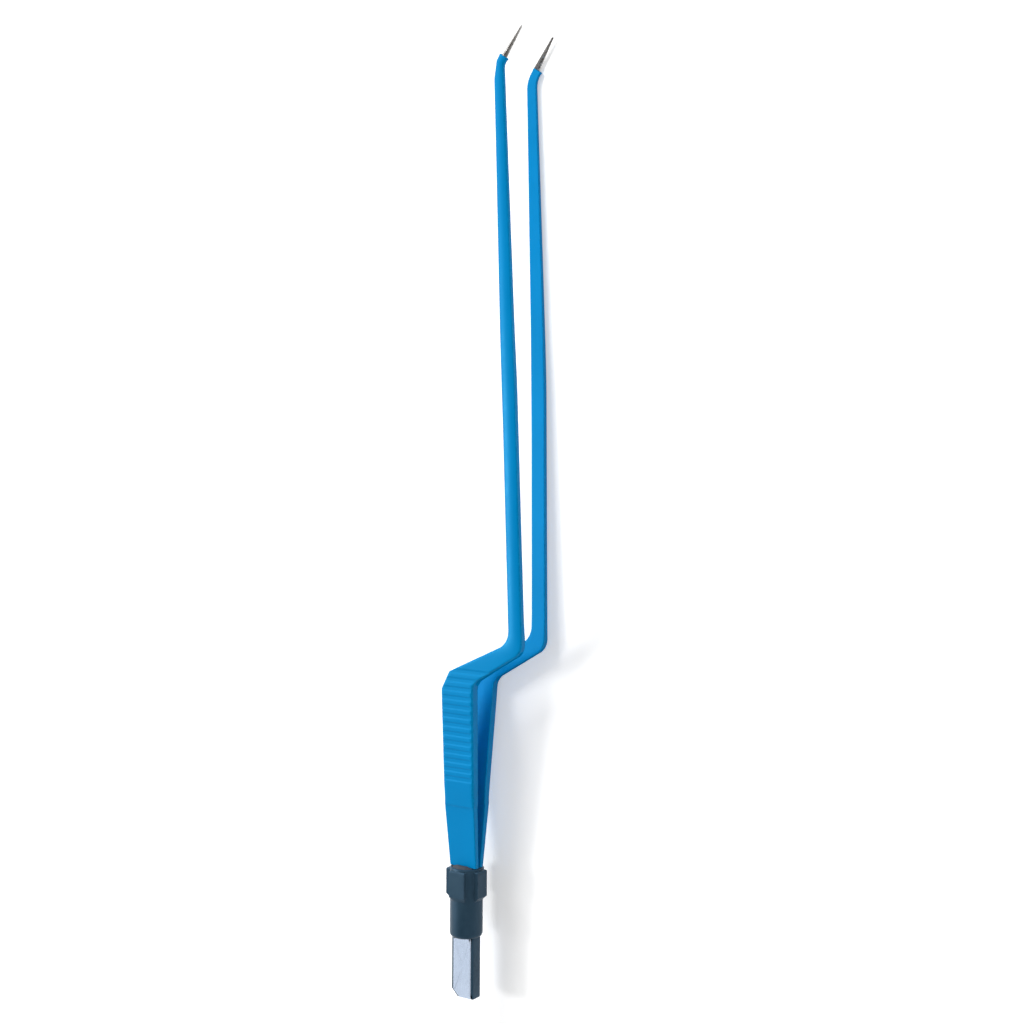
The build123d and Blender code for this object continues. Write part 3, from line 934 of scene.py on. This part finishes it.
# %% Contact finish
def contact_finish():
    material, tree, shader, bump = new_finish("plated contact", 0.2, 0.00003)
    lines = place_group(tree, BRUSHED, Scale=420.0, Stretch=16.0)
    cloud = place_group(tree, MOTTLE, Scale=170.0, Fine=0.3)
    along_edges = place_group(tree, EDGE_MASK, Scale=1500.0, Amount=0.7)
    silver = ramp_colour(tree, cloud, "Value", 0.3, 0.7,
                         [(0.55, 0.65, 0.81), (0.58, 0.68, 0.84), (0.61, 0.71, 0.87)])
    edge_coloured = mix_colour(tree, along_edges, "Mask", silver, "Color", (0.72, 0.80, 0.90))
    tree.links.new(edge_coloured.outputs[2], shader.inputs["Base Color"])
    metal = ranged(tree, cloud, "Value", 0.2, 0.8, 0.95, 1.0)
    join(tree, metal, "Result", shader, "Metallic")
    gloss = ranged(tree, lines, "Value", 0.3, 0.7, 0.22, 0.4)
    join(tree, gloss, "Result", shader, "Roughness")
    join(tree, lines, "Value", bump, "Height")
    return material


# %% [markdown]
# ## Potting
#
# The resin that seals the blades in the collar is a dull dark grey, slightly uneven where it set.

# %% Seal finish
def seal_finish():
    material, tree, shader, bump = new_finish("grey potting", 0.5, 0.0002, Specular_IOR_Level=0.4)
    grain = place_group(tree, MOTTLE, Scale=700.0, Fine=0.5)
    grey = ramp_colour(tree, grain, "Value", 0.3, 0.7,
                       [(0.045, 0.046, 0.052), (0.07, 0.068, 0.074), (0.095, 0.09, 0.094)])
    join(tree, grey, "Color", shader, "Base Color")
    gloss = ranged(tree, grain, "Value", 0.3, 0.7, 0.45, 0.65)
    join(tree, gloss, "Result", shader, "Roughness")
    join(tree, grain, "Value", bump, "Height")
    return material


# %% [markdown]
# ## Finishes on the pieces
#
# Each finish is made once and put on every piece that has it. The seal is the one solid that
# stays in sight, so it gets its finish here too.

# %% Put the finishes on
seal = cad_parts["seal"]
for finish, pieces in [
    (coat_finish(), [coat_upper, coat_lower]), (steel_finish(), [steel_upper, steel_lower]),
    (plug_finish(), [plug_moulding]), (contact_finish(), [contact_upper, contact_lower]),
    (seal_finish(), [seal]),
]:
    for piece in pieces:
        if not piece.material_slots:
            piece.data.materials.append(finish)
        for place in piece.material_slots:
            place.material = finish
    print(finish.name, "on", [piece.name for piece in pieces])

# %% [markdown]
# ## Floor
#
# The forceps lies on a pale table. The table gives off a little light of its own to the rays that
# look at it, so that it comes out nearly white and still takes a shadow.

# %% Floor
FLOOR_LIFT = 0.4


def seen_rays(tree):
    """1 for rays that look: from the camera, off a shiny surface or through a clear one."""
    rays = tree.nodes.new("ShaderNodeLightPath")
    first = add(tree, "ShaderNodeMath", operation="MAXIMUM")
    both = add(tree, "ShaderNodeMath", operation="MAXIMUM")
    join(tree, rays, "Is Camera Ray", first, 0)
    join(tree, rays, "Is Glossy Ray", first, 1)
    join(tree, first, 0, both, 0)
    join(tree, rays, "Is Transmission Ray", both, 1)
    return both


def floor_finish():
    material, tree, shader, bump = new_finish("pale table", 0.05, 0.0005, Specular_IOR_Level=0.2)
    mottle = place_group(tree, MOTTLE, Scale=14.0, Fine=0.3)
    white = ramp_colour(tree, mottle, "Value", 0.3, 0.7,
                        [(0.90, 0.90, 0.90), (0.92, 0.92, 0.92), (0.93, 0.93, 0.93)])
    join(tree, white, "Color", shader, "Base Color")
    gloss = ranged(tree, mottle, "Value", 0.3, 0.7, 0.7, 0.8)
    join(tree, gloss, "Result", shader, "Roughness")
    join(tree, mottle, "Value", bump, "Height")
    looked_at = seen_rays(tree)
    lift = ranged(tree, looked_at, 0, 0, 1, 0.0, FLOOR_LIFT)
    join(tree, white, "Color", shader, "Emission Color")
    join(tree, lift, "Result", shader, "Emission Strength")
    return material


floor_half = 3.0
floor_mesh = bpy.data.meshes.new("table")
floor_mesh.from_pydata([(-floor_half, -floor_half, 0), (floor_half, -floor_half, 0),
                        (floor_half, floor_half, 0), (-floor_half, floor_half, 0)], [], [(0, 1, 2, 3)])
floor = bpy.data.objects.new("table", floor_mesh)
floor.location.z = cad_box[0].z
bpy.context.collection.objects.link(floor)
floor_mesh.materials.append(floor_finish())


# %% [markdown]
# ## Lamps and surroundings
#
# The key lamp stands beyond the tips, towards the left of the picture. A small sheen lamp on the
# left puts the soft streak on the shafts, and a large weak one fills from the right. The
# surroundings are white to the rays that look, and dimmer to those that only light the surfaces.
# A dark patch overhead meets only the rays that look, so it takes no light away and shows in
# reflections, where it gives the tips' facets their dark stripe.

# %% Lamps and surroundings
def soft_lamp(name, place, size, level):
    """Square lamp aimed at the middle of the forceps.

    level is what a white face square to the lamp shows, so the power is level pi squared d squared.
    """
    data = bpy.data.lights.new(name, "AREA")
    data.shape, data.size = "SQUARE", size
    lamp = bpy.data.objects.new(name, data)
    lamp.location = place
    data.energy = level * math.pi ** 2 * lamp.location.length_squared
    lamp.rotation_euler = (-lamp.location).to_track_quat("-Z", "Y").to_euler()
    bpy.context.collection.objects.link(lamp)


soft_lamp("key lamp", (0.86, 0.50, 0.66), 0.5, 0.66)
soft_lamp("sheen lamp", (-0.06, 0.86, 0.72), 0.22, 0.42)
soft_lamp("fill lamp", (0.35, -0.75, 0.75), 0.7, 0.06)

DARK_SIDE = (-0.12, 0.04, 0.992)
DARK_WIDE, DARK_CORE = math.radians(34), math.radians(24)
world = bpy.data.worlds.new("studio")
bpy.context.scene.world = world
world.use_nodes = True
sky = world.node_tree
sky.nodes.clear()
level = add(sky, "ShaderNodeMapRange", To_Min=0.38, To_Max=1.0)
towards = add(sky, "ShaderNodeTexCoord")
facing = add(sky, "ShaderNodeVectorMath", operation="DOT_PRODUCT")
facing.inputs[1].default_value = DARK_SIDE
towards_dark = add(sky, "ShaderNodeMath", operation="MULTIPLY")
patch = ramp_colour(sky, towards_dark, 0, math.cos(DARK_WIDE), math.cos(DARK_CORE),
                    [(1.0, 1.0, 1.0), (0.13, 0.12, 0.11)])
glow = add(sky, "ShaderNodeBackground")
sky_end = sky.nodes.new("ShaderNodeOutputWorld")
looking = seen_rays(sky)
join(sky, looking, 0, level, "Value")
join(sky, facing, "Value", towards_dark, 0)
join(sky, looking, 0, towards_dark, 1)
join(sky, level, "Result", glow, "Strength")
join(sky, towards, "Generated", facing, 0)
join(sky, patch, "Color", glow, "Color")
join(sky, glow, "Background", sky_end, "Surface")

# %% [markdown]
# ## Camera
#
# The camera was placed by matching points of the object: the plug's end, the lugs, the elbows,
# the coat's cuts and the tips. It looks down steeply, with the tips at the top of the picture.

# %% Camera
CAMERA_PLACE = Vector((25.85, -227.7, 337.2)) * MM
CAMERA_BACK = Vector((0.05427, -0.55837, 0.82782)).normalized()
CAMERA_UP = Vector((0.99850, 0.03625, -0.04101))
LENS = 54.48

camera_data = bpy.data.cameras.new("camera")
camera_data.lens, camera_data.sensor_width = LENS, 36.0
camera_data.clip_start, camera_data.clip_end = 0.01, 20.0
camera = bpy.data.objects.new("camera", camera_data)
right = CAMERA_UP.cross(CAMERA_BACK).normalized()
up = CAMERA_BACK.cross(right)
camera.matrix_world = Matrix((right, up, CAMERA_BACK)).transposed().to_4x4()
camera.location = CAMERA_PLACE
bpy.context.collection.objects.link(camera)
bpy.context.scene.camera = camera
bpy.context.scene.view_settings.view_transform = "Standard"

# %% [markdown]
# ## Size
#
# The box of the imported part is printed.

# %% Size
bpy.context.view_layer.update()
print("CAD box (mm):", [[round(v / MM, 2) for v in corner] for corner in cad_box])
